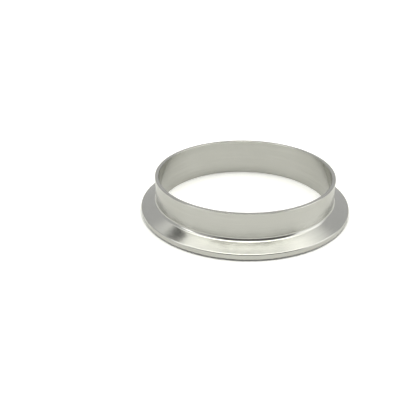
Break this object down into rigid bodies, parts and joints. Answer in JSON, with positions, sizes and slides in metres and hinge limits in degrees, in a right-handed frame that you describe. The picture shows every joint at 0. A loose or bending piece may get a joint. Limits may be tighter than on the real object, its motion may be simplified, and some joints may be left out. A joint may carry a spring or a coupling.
{
  "type": "sanitary clamp ferrule",
  "caption": "Short clamp ferrule of turned stainless steel: a thin tube stub for welding on a flat flange with a 20 degree clamp bevel and a round gasket groove.",
  "frame": {"origin": "centre of the sealing face, on the bore axis", "axes": "+Z along the bore, from the sealing face to the weld end; X and Y in the sealing face, which all look alike"},
  "size_m": [0.119, 0.119, 0.0215],
  "materials": {
    "stainless_steel": "fine turned satin, with round tool marks"
  },
  "bodies": {
    "root": {"ferrule": "stainless_steel"}
  },
  "joints": []
}
